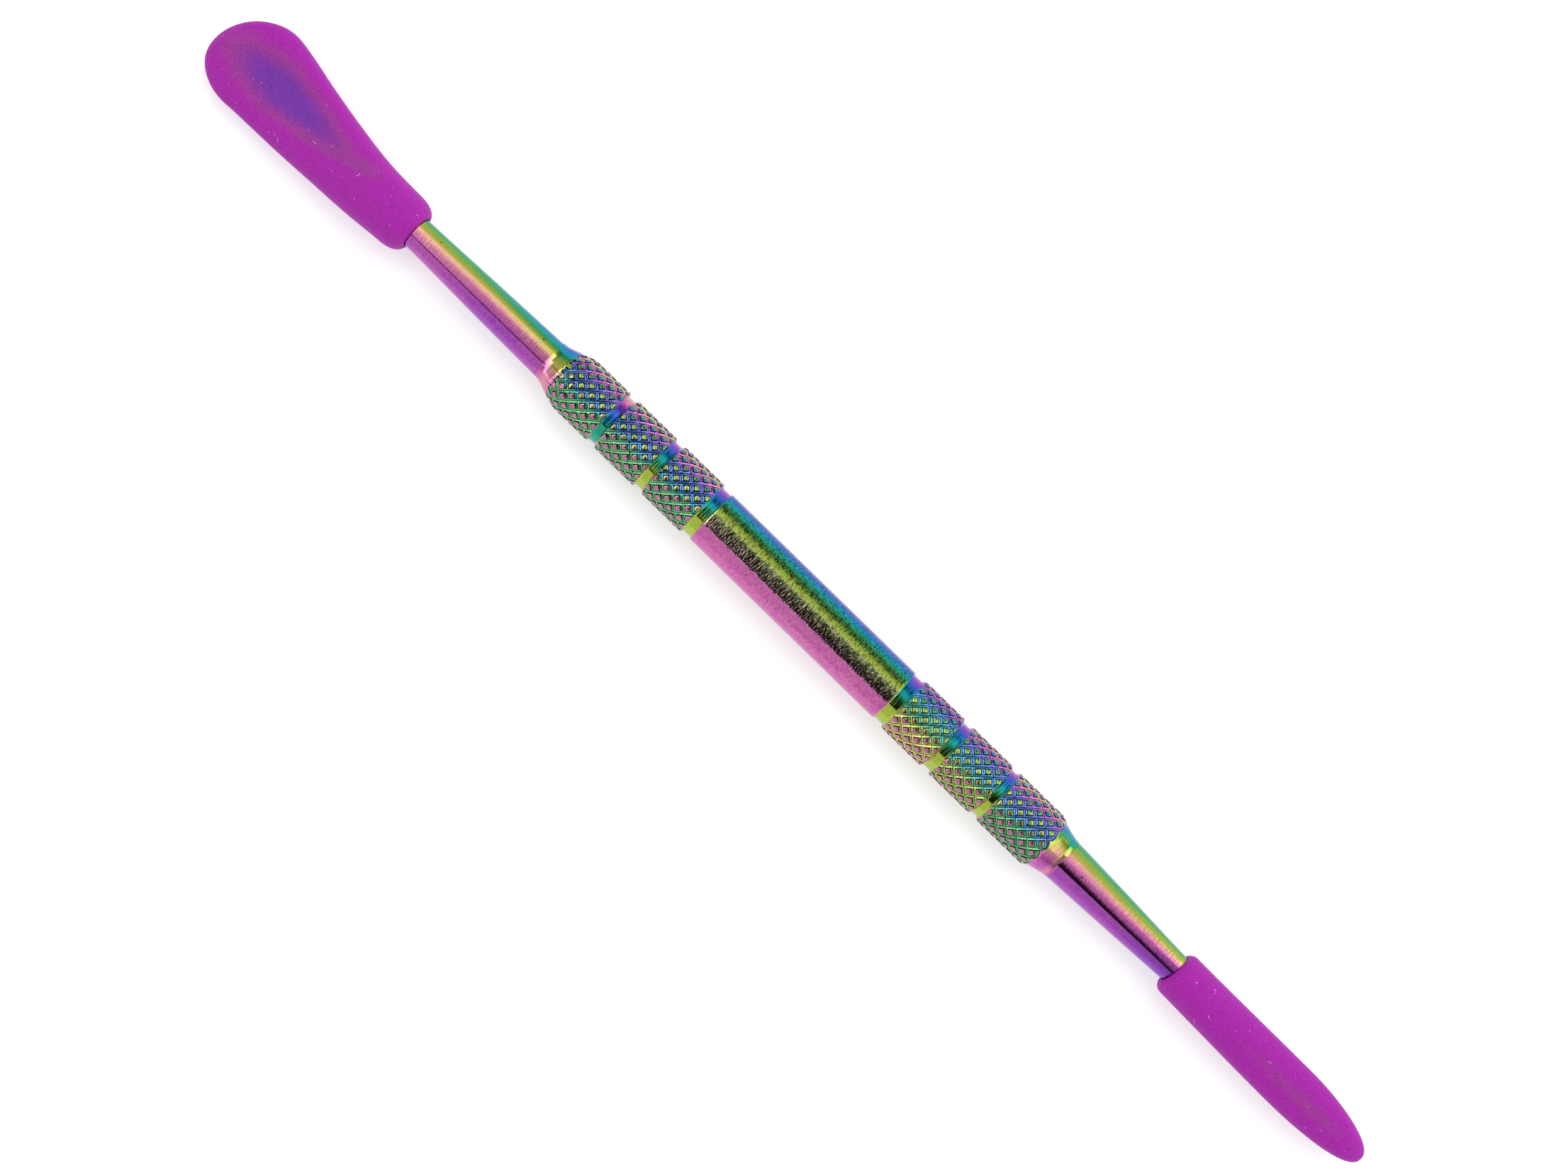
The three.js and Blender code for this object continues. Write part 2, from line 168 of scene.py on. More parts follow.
# A thin titanium film goes through one cycle of colours as it gets thicker: pink at 0, then gold, green,
# blue and violet, and pink again at 1. filmOrder is that number, and it may run past 1.
coat = {
    "barrelAcross": [-1, -0.36, -0.2, 0, 0.25, 0.43, 0.6, 0.7, 0.78, 0.87, 0.97, 1],
    "barrelOrder": [1, 1, 1.1, 1.25, 1.29, 1.34, 1.44, 1.52, 1.6, 1.68, 1.78, 1.82],
    "grooveAcross": [-1, -0.3, 0, 0.3, 0.6, 0.8, 1],
    "grooveOrder": [1.3, 1.3, 1.45, 1.55, 1.68, 1.82, 1.93],
    "spoonNeckAcross": [-1, -0.4, -0.25, -0.05, 0.1, 0.2, 0.34, 0.48, 0.62, 0.76, 1],
    "spoonNeckOrder": [0.92, 0.93, 0.97, 1.03, 1.07, 1.13, 1.2, 1.3, 1.42, 1.52, 1.66],
    "bladeNeckAcross": [-1, -0.4, -0.27, -0.07, 0.07, 0.2, 0.33, 0.47, 0.6, 0.73, 1],
    "bladeNeckOrder": [0.91, 0.92, 0.95, 0.98, 1.01, 1.04, 1.1, 1.2, 1.28, 1.37, 1.52],
    # the film in the knurl's V grooves is further on than on the flats, more so on some bands
    "knurlShiftAt": [-9.7, 12.7, 17.4, 18, 22.9, 23.4],
    "knurlShift": [0.42, 0.22, 0.24, 0.33, 0.33, 0.42],
    "firstGrooveShift": 0.2,  # the groove next to the spoon's band
    "filletShift": 0.13,  # the hollows where the necks meet the handle
    "fillets": [(-26.3, 0.7), (30.4, 0.35)],  # the middle of each hollow along x, and its reach
    "highlightPale": 0.32,  # share of pale steel in the band painted along the barrel's top, which makes its streak highlights white
    "paleFrom": (-0.36, -0.28),  # where that band begins across the barrel
    "paleTo": (0.05, 0.3),
    "shadeStreaksFrom": (-0.32, -0.25),  # where the painted dark reflections between the barrel's streaks begin, across it
    "faintStreakShade": 0.2,  # and their share on the other side
    "neckDrawn": 0.18,  # share of the barrel's streaks on the necks
    # share of the painted shade between the streaks on the necks
    "neckStreakShade": 0.1,
}


def filmAcross(region, across):
    # The film's order by straight lines between the places in coat. across is 1 on the tool's +Y side, 0 on
    # its top and underside and -1 on its -Y side.
    return np.interp(across, coat[region + "Across"], coat[region + "Order"])


# The handle is a turned bar with knurled bands, and a socket in each end for a shank.
handleShape = {
    "bandRadius": 2.62,
    "barrelRadius": 2.5,
    "grooveRadius": 2.35,
    "bandWallRun": 0.28,  # how far along x a groove's sloping wall reaches
    "barrelWallRun": 0.1,
    "crestRound": 0.04,
    # start and end of each band, at the foot of its walls, or at its crest where it runs onto a cone
    "leftBands": [(-24.2, -20.32), (-19.79, -15.07), (-14.5, -9.72)],
    "barrel": (-8.97, 11.85),
    "rightBands": [(12.67, 17.44), (18.03, 22.9), (23.37, 28.55)],
    # each cone from its seam to its wide end, as places along x and radii
    "spoonCone": ((-27.2, 1.77), (-24.75, 2.5)),
    "bladeCone": ((30.8, 1.93), (29.1, 2.29)),
    "socketRadius": 1.1,
    "socketDepth": 9,
}

knurl = {
    "starts": 14,  # helices in each of the two directions, at 45 degrees
    "stepsPerStart": 14,
    "depths": (0.17, 0.13),  # in mm, of the two directions
    "wallSlope": 0.39,  # the V's shallow sides
    "halfWidth": 0.178,  # from the V's middle to the steep edge of a flat
    "edgeRun": 0.06,  # how wide that edge is
    "rimDepth": 0.014,  # how deep the flat's rounded rim begins
    "unevenness": (0.85, 1.08),  # least and most share of its depth that a helix is pressed in
    "fadeIn": (-25.75, -25.25),  # along x, on the spoon's cone
    "fadeOut": (28.75, 29.1),  # and on the blade's
    "fineEnds": (-26.1, 29.5),  # between these, rings stand as close as the knurl needs
    # where the helices begin, in steps of the grid, for each zone and direction
    "leftPhase": (4, 3),
    "rightPhase": (9, 13),
}


def handleProfile(h):
    # the silhouette of the turned bar before knurling, as places along x and radii
    points = []

    def addWall(foot, radius, run):
        # a sloping wall: it climbs from its foot towards +X for a positive run, towards -X for a negative one
        wall = [(foot, h["grooveRadius"]), (foot + run * 0.4, h["grooveRadius"] + 0.09),
                (foot + run * 0.75, radius - h["crestRound"]),
                (foot + run, radius - h["crestRound"] * 0.3), (foot + run * 1.3, radius)]
        points.extend(wall if run > 0 else wall[::-1])

    def addCone(cone, shares):
        # a cone that leaves the neck in a soft fillet
        (seamX, seamRadius), (wideX, wideRadius) = cone
        climb = np.where(shares < 0.3, shares**2 / 0.51, (shares - 0.15) / 0.85)
        points.extend(zip(seamX + shares * (wideX - seamX), seamRadius + climb * (wideRadius - seamRadius)))

    bandWall, barrelWall = h["bandWallRun"], h["barrelWallRun"]
    shares = np.linspace(0, 1, 15)
    addCone(h["spoonCone"], shares)
    start, end = h["leftBands"][0]
    wideX, wideRadius = h["spoonCone"][1]
    points.append((wideX * 0.5 + start * 0.5, wideRadius * 0.35 + h["bandRadius"] * 0.65))
    points.append((start, h["bandRadius"]))
    addWall(end, h["bandRadius"], -bandWall)
    for start, end in h["leftBands"][1:]:
        addWall(start, h["bandRadius"], bandWall)
        addWall(end, h["bandRadius"], -bandWall)
    addWall(h["barrel"][0], h["barrelRadius"], barrelWall)
    addWall(h["barrel"][1], h["barrelRadius"], -barrelWall)
    for start, end in h["rightBands"][:-1]:
        addWall(start, h["bandRadius"], bandWall)
        addWall(end, h["bandRadius"], -bandWall)
    addWall(h["rightBands"][-1][0], h["bandRadius"], bandWall)
    crestX = h["rightBands"][-1][1]
    points.append((crestX, h["bandRadius"]))
    points.append((crestX + 0.2, h["bandRadius"] - 0.1))
    addCone(h["bladeCone"], shares[::-1])
    return np.array(points).T


def knurlDepthAt(distance, depth):
    # A groove's depth at a distance from its helix: a shallow V, then a steep edge up to the flat, whose
    # rim is rounded a little.
    k = knurl
    atEdge = depth - k["wallSlope"] * k["halfWidth"]
    reach = k["halfWidth"] + k["edgeRun"]
    places = [0, k["halfWidth"], reach, reach + k["edgeRun"]]
    return np.interp(distance, places, [depth, atEdge, k["rimDepth"], 0])


def cutKnurl(x, angle, turned, h):
    # Two families of helices cut into the bands. On the bands a groove's floor keeps one radius, so it
    # runs out on the walls, and on the cones it follows the cone and fades out. Returns the surface, how
    # far into a groove each point is (0 on a flat, 1 on a helix), and where the rising family is deeper.
    k = knurl
    starts = k["starts"]
    lead = 2 * np.pi * h["bandRadius"] / starts  # a helix at 45 degrees repeats along x as it does round
    left = x < 0
    spoonCrest, bladeCrest = h["leftBands"][0][0], h["rightBands"][-1][1]
    onLeft = (x > spoonCrest) & (x < h["leftBands"][-1][1])
    onRight = (x > h["rightBands"][0][0]) & (x < bladeCrest)
    onBands = (onLeft | onRight)[:, None]
    onCones = ((x <= spoonCrest) | (x >= bladeCrest))[:, None]
    press = (smoothStep(*k["fadeIn"], x) * (1 - smoothStep(*k["fadeOut"], x)))[:, None]
    reach = k["halfWidth"] + 2 * k["edgeRun"]
    random = np.random.default_rng(7)
    cuts, places = [], []
    for family, depth in enumerate(k["depths"]):
        direction = 1 - 2 * family
        offset = np.where(left, k["leftPhase"][family], k["rightPhase"][family])[:, None] / k["stepsPerStart"]
        phase = starts * angle[None, :] / (2 * np.pi) + direction * x[:, None] / lead + offset
        distance = np.abs(phase - np.round(phase)) * lead / math.sqrt(2)
        uneven = random.uniform(*k["unevenness"], starts)[np.round(phase).astype(int) % starts]
        cuts.append(knurlDepthAt(distance, depth) * uneven)
        places.append(np.clip(1 - distance / reach, 0, 1))
    rising = cuts[0] >= cuts[1]
    cut = np.maximum(*cuts)
    wall = np.repeat(turned[:, None], len(angle), axis=1)
    surface = np.where(onBands, np.minimum(wall, h["bandRadius"] - cut), wall)
    surface = np.where(onCones, wall - cut * press, surface)
    place = np.where(rising, *places) * np.where(onCones, press, (surface < wall) * onBands)
    return surface, place, rising


def handleOrder(x, across, turned, cutPlace, necks):
    # The film's order on the handle: the barrel's, running over into each neck's on its cone, further on in
    # the hollows and in the knurl's grooves, and the turned grooves' own at their bottoms.
    h = handleShape
    order = filmAcross("barrel", across) * (1 - necks[0] - necks[1])
    order = order + filmAcross("spoonNeck", across) * necks[0] + filmAcross("bladeNeck", across) * necks[1]
    hollow = sum(np.exp(-((x - middle) / reach) ** 2) for middle, reach in coat["fillets"])
    order = order + coat["filletShift"] * hollow[:, None]
    shift = np.interp(x, coat["knurlShiftAt"], coat["knurlShift"])[:, None]
    order = order + shift * smoothStep(0.15, 0.4, cutPlace)
    between = (x > h["leftBands"][0][0] + 1) & (x < h["rightBands"][-1][1] - 1)
    share = ((1 - smoothStep(h["grooveRadius"] + 0.08, h["barrelRadius"], turned)) * between)[:, None]
    first = coat["firstGrooveShift"] * (x < h["leftBands"][1][0] + 0.5)
    return order * (1 - share) + (filmAcross("groove", across) + first[:, None]) * share


def socketRings(seamX, inward, angle):
    # the wall of a round socket, as circles from deep inside it to its mouth
    h = handleShape
    xs = seamX + inward * np.array([h["socketDepth"], h["socketDepth"] * 0.5, 0.02])
    size = (3, len(angle))
    y, z = h["socketRadius"] * np.cos(angle), axisZ + h["socketRadius"] * np.sin(angle)
    return np.stack([np.broadcast_to(xs[:, None], size), np.full(size, y), np.full(size, z)], axis=-1)


def makeHandle(material):
    # A grid of x along the bar by angle round it, whose radius is the turned profile less the knurl. Three
    # rings of a socket close it at each end.
    h = handleShape
    sides = knurl["starts"] * knurl["stepsPerStart"]
    step = 2 * np.pi * h["bandRadius"] / sides
    profileX, profileR = handleProfile(h)
    fineStart, fineEnd = knurl["fineEnds"]
    zones = [(fineStart, h["leftBands"][-1][1]), (h["rightBands"][0][0], fineEnd)]
    fine = [np.arange(math.ceil(a / step), math.floor(b / step) + 1) * step for a, b in zones]
    plain = np.linspace(h["barrel"][0] + 0.3, h["barrel"][1] - 0.3, 8)
    x = np.unique(np.round(np.concatenate([profileX, *fine, plain]), 4))
    x = x[np.concatenate([[True], np.diff(x) > 0.004])]
    angle = 2 * np.pi * np.arange(sides) / sides
    turned = np.interp(x, profileX, profileR)
    surface, cutPlace, rising = cutKnurl(x, angle, turned, h)

    y, z = surface * np.cos(angle), axisZ + surface * np.sin(angle)
    outside = np.stack([np.broadcast_to(x[:, None], y.shape), y, z], axis=-1)
    spoonSeam, bladeSeam = h["spoonCone"][0][0], h["bladeCone"][0][0]
    leftSocket = socketRings(spoonSeam, 1, angle)
    rightSocket = socketRings(bladeSeam, -1, angle)[::-1]
    rings = np.concatenate([leftSocket, outside, rightSocket])
    split = np.zeros((len(rings) - 1, sides), bool)
    split[3:-3] = rising[:-1]
    piece = closedMesh("grooved_handle", rings, [leftSocket[0, 0, 0], 0, axisZ],
                       [rightSocket[-1, 0, 0], 0, axisZ], risingSplit=split)

    # what the finish needs to know at each point, with plain numbers in the sockets
    across = np.cos(angle)[None, :]
    onTop = np.sin(angle)[None, :] > 0
    necks = [1 - smoothStep(spoonSeam, h["leftBands"][0][0], x)[:, None],
             smoothStep(h["rightBands"][-1][1], bladeSeam, x)[:, None]]
    onBarrel = ((x > h["barrel"][0] + 0.1) & (x < h["barrel"][1] - 0.1))[:, None]
    # painted highlight: a pale band along the barrel's top, where its streak highlights look white
    inPale = smoothStep(*coat["paleFrom"], across) * (1 - smoothStep(*coat["paleTo"], across)) * onTop
    # painted dark reflection between the streaks, full from here over the barrel's top and +Y side
    shadeSide = smoothStep(*coat["shadeStreaksFrom"], across)
    marks = {
        "cutPlace": (cutPlace, 0),
        "filmOrder": (handleOrder(x, across, turned, cutPlace, necks), 1),
        "drawnShare": (onBarrel + coat["neckDrawn"] * (necks[0] + necks[1]), 0),
        # the share of painted dark reflection between the barrel's streaks
        "streakShadeShare": (onBarrel * (coat["faintStreakShade"] + (1 - coat["faintStreakShade"]) * shadeSide), 0),
        # the painted pale highlight band
        "paintedPaleBand": (coat["highlightPale"] * onBarrel * inPale, 0),
    }
    for name, (values, inSocket) in marks.items():
        socket = np.full((3, sides), float(inSocket))
        values = np.broadcast_to(values, surface.shape)
        addAttribute(piece, name, np.concatenate([socket, values, socket]), inSocket, inSocket)
    piece.data.set_sharp_from_angle(angle=math.radians(30))
    finishPiece(piece, "tool", "handle", material)


def addShankMarks(piece, orders, firstOrder, lastOrder):
    # the film's order at each point of a shank, and light streaks all over it with faint painted shade
    # between them
    addAttribute(piece, "filmOrder", orders, firstOrder, lastOrder)
    shares = {"drawnShare": coat["neckDrawn"], "paintedPaleBand": 0, "streakShadeShare": coat["neckStreakShade"]}
    for name, share in shares.items():
        addAttribute(piece, name, np.full_like(orders, share), 0, 0)


def roundStations(xs, radius):
    # round sections on the handle's axis
    size = np.full(len(xs), radius)
    level = np.full(len(xs), axisZ)
    return {"x": np.array(xs, float), "side": size * 0, "mid": level, "half": size, "up": size, "down": size}


# The spoon shank is a round neck that flows into a shallow bowl.
spoonShape = {
    "sides": 128,
    "tip": -64.15,
    "noseLength": 3.4,
    "spigot": (-19.2, 1.07),  # where it ends in the handle and its radius
    "bowlColours": (-46, -52),  # where the neck's colours run over into the bowl's
    "bowlShift": 0.25,
    "farSide": (-28, -40),  # where the film on the neck's +Y side falls back
    "farSideShift": -0.2,
    "drift": (0.02, 2.3),  # a slow wave of the film's order along the shank, and its length over 2 pi
    "stations": {
        "x": [-64.15, -60.8, -58, -54, -50, -46, -42.1, -34, -27.2],
        "side": [-0.15, 0.45, 0.35, 0.05, -0.16, -0.2, -0.16, -0.1, -0.04],
        "mid": [2.0, 1.92, 1.96, 2.14, 2.4, 2.58, 2.62, 2.62, 2.62],
        "half": [2.95, 3.1, 2.95, 2.3, 1.72, 1.4, 1.38, 1.6, 1.75],
        "up": [0.4, 0.43, 0.46, 0.6, 0.85, 1.22, 1.38, 1.6, 1.75],
        "down": [0.4, 0.43, 0.46, 0.6, 0.85, 1.22, 1.38, 1.6, 1.75],
        "bow": [0.6, 0.7, 0.65, 0.35, 0.08, 0, 0, 0, 0],
    },
}


def spoonSections(x, tip):
    # the spoon's stations, with its width rounded off towards a tip over a long nose and its thickness over
    # a short one
    s = smoothColumns(spoonShape["stations"], np.maximum(x, spoonShape["tip"]))
    share = noseShare(x - tip, spoonShape["noseLength"])
    thin = noseShare(x - tip, 0.5)
    s.update(x=x, half=s["half"] * share, up=s["up"] * thin, down=s["down"] * thin, bow=s["bow"] * share**2)
    return s


def makeSpoonShank(material):
    # sections along the spoon from its tip to the seam, then a plain round spigot inside the handle
    p = spoonShape
    seamX = p["stations"]["x"][-1] - 0.02
    nose = p["tip"] + noseDistances(p["noseLength"], 24)
    x = np.concatenate([nose, np.arange(nose[-1] + 0.25, seamX, 0.25), [seamX]])
    sections = spoonSections(x, p["tip"])
    rings = sectionGrid(sections, p["sides"])
    spigot = sectionGrid(roundStations([seamX, p["spigot"][0]], p["spigot"][1]), p["sides"])
    rings = np.concatenate([rings, spigot])
    tipPoint = [p["tip"], p["stations"]["side"][0], p["stations"]["mid"][0]]
    piece = closedMesh("spoon_pusher", rings, tipPoint, [p["spigot"][0], 0, axisZ])
    angle = 2 * np.pi * np.arange(p["sides"]) / p["sides"]
    across = np.cos(angle)[None, :]
    bowl = smoothStep(*p["bowlColours"], x)[:, None]
    farSide = np.clip(across, 0, 1) * smoothStep(*p["farSide"], x)[:, None]
    neckOrder = filmAcross("spoonNeck", across) + p["farSideShift"] * farSide
    order = neckOrder * (1 - bowl) + (filmAcross("barrel", across) + p["bowlShift"]) * bowl
    order = order + p["drift"][0] * np.sin(x / p["drift"][1])[:, None]
    addShankMarks(piece, np.concatenate([order, np.ones((2, p["sides"]))]), 1.3, 1)
    piece.data.set_sharp_from_angle(angle=math.radians(40))
    finishPiece(piece, "tool", "spoon_shank", material)


# The blade shank is a round neck that thins to a narrow blade.
bladeShape = {
    "sides": 128,
    "tip": 64.2,
    "noseLength": 5,
    "spigot": (22.8, 1.07),
    "neckShift": -0.05,  # of the film's order, from one place along x to another
    "neckShiftAt": (36, 43),
    "bladeShift": 0.3,
    "bladeShiftAt": (46, 54),
    "stations": {
        "x": [30.8, 33, 38, 43.5, 48, 53, 58, 64.2],
        "side": [0, 0, 0, 0, 0, 0, 0, 0],
        "mid": [2.62, 2.62, 2.62, 2.62, 2.62, 2.62, 2.62, 2.62],
        "half": [1.91, 1.82, 1.6, 1.34, 1.26, 1.22, 1.2, 1.1],
        "up": [1.91, 1.82, 1.6, 1.34, 1.0, 0.6, 0.42, 0.35],
        "down": [1.91, 1.82, 1.6, 1.34, 1.0, 0.6, 0.42, 0.35],
    },
}


def bladeSections(x, tip):
    # the blade's stations, with its width rounded off towards a tip over a long nose and its thickness over
    # a short one
    s = smoothColumns(bladeShape["stations"], np.minimum(x, bladeShape["tip"]))
    share = noseShare(tip - x, bladeShape["noseLength"])
    thin = noseShare(tip - x, 0.5)
    s.update(x=x, half=s["half"] * share, up=s["up"] * thin, down=s["down"] * thin)
    return s


def makeBladeShank(material):
    # a plain round spigot inside the handle, then sections along the blade from the seam to its tip
    p = bladeShape
    seamX = p["stations"]["x"][0] + 0.02
    nose = (p["tip"] - noseDistances(p["noseLength"], 24))[::-1]
    x = np.concatenate([[seamX], np.arange(seamX + 0.25, nose[0] - 0.1, 0.25), nose])
    rings = sectionGrid(bladeSections(x, p["tip"]), p["sides"])
    spigot = sectionGrid(roundStations([p["spigot"][0], seamX], p["spigot"][1]), p["sides"])
    rings = np.concatenate([spigot, rings])
    piece = closedMesh("blade_pusher", rings, [p["spigot"][0], 0, axisZ], [p["tip"], 0, axisZ])
    angle = 2 * np.pi * np.arange(p["sides"]) / p["sides"]
    across = np.cos(angle)[None, :]
    order = filmAcross("bladeNeck", across)
    order = order + p["neckShift"] * smoothStep(*p["neckShiftAt"], x)[:, None]
    order = order + p["bladeShift"] * smoothStep(*p["bladeShiftAt"], x)[:, None]
    addShankMarks(piece, np.concatenate([np.ones((2, p["sides"])), order]), 1, 1.2)
    piece.data.set_sharp_from_angle(angle=math.radians(40))
    finishPiece(piece, "tool", "blade_shank", material)


# The caps are soft sleeves with a rounded lip at the mouth, hollow to the shape of the shank inside them.
spoonCapShape = {
    "sides": 160,
    "mouth": -42.1,
    "noseLength": 4.6,
    "heightNose": 2.2,
    "lipLength": 1.7,
    "lipDrop": 0.36,
    "gap": 0.05,  # between the sleeve and the steel
    "tipGap": 0.12,
    "spotMiddle": (-57.9, 0.5),  # where the bowl shows through most, along and across
    "spotLengths": (5.4, 8.0),  # towards the tip and towards the mouth
    "spotWidthAt": ([-58, -49], [2.0, 0.9]),  # at two places along x
    # the fold's sharp side, as places along x and across
    "foldAt": ([-58.2, -54, -50.5, -47.9, -45.5], [-1.9, -1.35, -0.5, 0.2, 0.55]),
    # how strongly the fold's lit upper side is painted, as painted light
    "litFoldShare": 0.38,
    "stations": {
        "x": [-65.1, -63.4, -60.5, -58.66, -55, -51.3, -47.6, -43.95, -42.1],
        "side": [-0.23, 0.16, 0.505, 0.42, 0.07, -0.18, -0.35, -0.27, -0.22],
        "mid": [1.55, 1.55, 1.6, 1.65, 1.85, 2.15, 2.45, 2.6, 2.62],
        "half": [4.02, 4.02, 4.02, 3.88, 3.46, 3.05, 2.72, 2.5, 2.48],
        "up": [1.35, 1.45, 1.62, 1.68, 1.8, 2.05, 2.3, 2.45, 2.45],
        "down": [2.1, 2.1, 2.0, 2.0, 2.1, 2.35, 2.55, 2.6, 2.55],
        "corner": [2.5, 2.5, 2.5, 2.5, 2.45, 2.35, 2.2, 2.1, 2],
        "dish": [0, 0.15, 0.75, 0.85, 0.65, 0.3, 0.05, 0, 0],
    },
}

bladeCapShape = {
    "sides": 160,
    "mouth": 43.5,
    "noseLength": 8,
    "nosePower": 2.3,
    "heightNose": 3,
    "lipLength": 0.7,
    "lipDrop": 0.3,
    "mouthSlant": 0.09,  # rise along x for each mm across
    "slantLength": 3,
    "gap": 0.05,
    "tipGap": 0.12,
    "streakShare": 0.32,
    "streakSide": (-0.45, 0.7),  # the streak's middle across, and its reach
    "stations": {
        "x": [43.5, 46.5, 51.5, 55.5, 60, 65.1],
        "side": [-0.13, -0.2, -0.28, -0.33, -0.36, -0.5],
        "mid": [2.62, 2.62, 2.62, 2.62, 2.62, 2.62],
        "half": [2.04, 2.06, 2.11, 2.14, 2.12, 2.1],
        "up": [2.04, 2.0, 1.8, 1.62, 1.5, 1.45],
        "down": [2.04, 2.0, 1.8, 1.62, 1.5, 1.45],
        "corner": [2, 2.1, 2.3, 2.4, 2.4, 2.3],
    },
}


def lipShare(distance, length, drop):
    # the share of its full size that a cap has at a distance in from its mouth: it loses drop of it at the
    # mouth itself, along a quarter of an ellipse
    return 1 - drop * (1 - noseShare(distance, length))


def lipPlaces(length, count):
    # distances in from the mouth, as one minus a cosine: close together at the mouth
    return (length * (1 - np.cos(np.pi / 2 * np.linspace(0, 1, count))))[::-1]


def makeSpoonCap(material):
    # sections from the tip to the mouth, and back inside to the socket's end, which follow the spoon with a
    # small gap
    p = spoonCapShape
    tip = -toolHalf
    nose = tip + noseDistances(p["noseLength"], 36)
    lip = p["mouth"] - lipPlaces(p["lipLength"], 14)
    x = np.concatenate([nose, np.arange(nose[-1] + 0.25, lip[0] - 0.1, 0.25), lip])
    s = smoothColumns(p["stations"], x)
    lipSize = lipShare(p["mouth"] - x, p["lipLength"], p["lipDrop"])
    height = noseShare(x - tip, p["heightNose"]) * lipSize
    s.update(dishHalf=s["half"] * 0.8, half=s["half"] * noseShare(x - tip, p["noseLength"]) * lipSize,
             up=s["up"] * height, down=s["down"] * height)
    outer = sectionGrid(s, p["sides"])
    outer[..., 2] = np.maximum(outer[..., 2], 0)  # soft rubber lies flat on the floor

    cavityTip = spoonShape["tip"] - p["tipGap"]
    cavityNose = cavityTip + noseDistances(spoonShape["noseLength"], 18)
    cavityX = np.arange(cavityNose[-1] + 0.4, p["mouth"] - 0.1, 0.4)
    cavityX = np.concatenate([cavityNose, cavityX, [p["mouth"]]])[::-1]
    cavity = sectionGrid(spoonSections(cavityX, cavityTip), p["sides"], p["gap"])
    side, mid = p["stations"]["side"][0], p["stations"]["mid"][0]
    spoonSide, spoonMid = spoonShape["stations"]["side"][0], spoonShape["stations"]["mid"][0]
    piece = closedMesh("spoon_sleeve", np.concatenate([outer, cavity]), [tip, side, mid],
                       [cavityTip - 0.02, spoonSide, spoonMid])

    # How strongly the steel bowl shows through: a drop shaped spot over the bowl's middle, exp(-q^1.3) of the
    # squared distance q. Past it is painted light: the lit upper side of a fold, in the spot's muted colour,
    # which fades away upwards and whose lower side is sharp.
    spotX, spotY = p["spotMiddle"]
    spotLength = np.where(x < spotX, *p["spotLengths"])
    spotWidth = np.interp(x, *p["spotWidthAt"])[:, None]
    away = (((x - spotX) / spotLength) ** 2)[:, None] + ((outer[..., 1] - spotY) / spotWidth) ** 2
    spot = np.exp(-(away**1.3))
    foldAlong = smoothStep(-58, -54, x) * (1 - smoothStep(-48.5, -45.5, x))
    above = outer[..., 1] - np.interp(x, *p["foldAt"])[:, None]
    foldAcross = smoothStep(-0.12, 0.12, above) * (1 - smoothStep(0.6, 2.0, above))
    litFold = p["litFoldShare"] * foldAlong[:, None] * foldAcross
    tintLevel = np.where(outer[..., 2] > s["mid"][:, None], np.maximum(spot, litFold), 0)
    addAttribute(piece, "showThroughAndLitFold", np.concatenate([tintLevel, np.zeros(cavity.shape[:2])]), 0, 0)
    piece.data.set_sharp_from_angle(angle=math.radians(60))
    finishPiece(piece, "spoon_cap", "spoon_cap", material)


def makeBladeCap(material):
    # sections from the tip to the mouth, and back inside to the socket's end, which follow the blade with a
    # small gap. The mouth is cut on a slant.
    p = bladeCapShape
    tip = toolHalf
    nose = (tip - noseDistances(p["noseLength"], 40))[::-1]
    lip = (p["mouth"] + lipPlaces(p["lipLength"], 12))[::-1]
    x = np.concatenate([lip, np.arange(lip[-1] + 0.25, nose[0] - 0.1, 0.25), nose])[::-1]
    s = smoothColumns(p["stations"], x)
    lipSize = lipShare(x - p["mouth"], p["lipLength"], p["lipDrop"])
    height = noseShare(tip - x, p["heightNose"]) * lipSize
    s.update(half=s["half"] * noseShare(tip - x, p["noseLength"], p["nosePower"]) * lipSize,
             up=s["up"] * height, down=s["down"] * height)
    outer = sectionGrid(s, p["sides"])
    cavityTip = bladeShape["tip"] + p["tipGap"]
    cavityNose = cavityTip - noseDistances(bladeShape["noseLength"], 18)
    cavityX = np.arange(p["mouth"] + 0.4, cavityNose[-1] - 0.1, 0.4)
    cavityX = np.concatenate([[p["mouth"]], cavityX, cavityNose[::-1]])
    cavity = sectionGrid(bladeSections(cavityX, cavityTip), p["sides"], p["gap"])
    rings = np.concatenate([outer, cavity])
    lean = np.clip(1 - (rings[..., 0] - p["mouth"]) / p["slantLength"], 0, 1)
    rings[..., 0] += p["mouthSlant"] * rings[..., 1] * lean
    side, mid = p["stations"]["side"][-1], p["stations"]["mid"][-1]
    piece = closedMesh("blade_sleeve", rings, [tip, side, mid], [cavityTip + 0.02, 0, axisZ],
                       turnFaces=True)

    # the blade shows through as a faint streak near its tip
    streakY, reach = p["streakSide"]
    middle = np.exp(-(((outer[..., 1] - streakY) / reach) ** 2)) * (outer[..., 2] > axisZ)
    along = (smoothStep(47, 58, x) * (1 - smoothStep(60, 64, x)))[:, None]
    tintLevel = p["streakShare"] * middle * along
    addAttribute(piece, "showThroughAndLitFold", np.concatenate([tintLevel, np.zeros(cavity.shape[:2])]), 0, 0)
    piece.data.set_sharp_from_angle(angle=math.radians(60))
    finishPiece(piece, "blade_cap", "blade_cap", material)


# settings of a Mix node that blends two colours, and of one that multiplies them
mixing = {"data_type": "RGBA"}
multiplying = {"data_type": "RGBA", "blend_type": "MULTIPLY"}


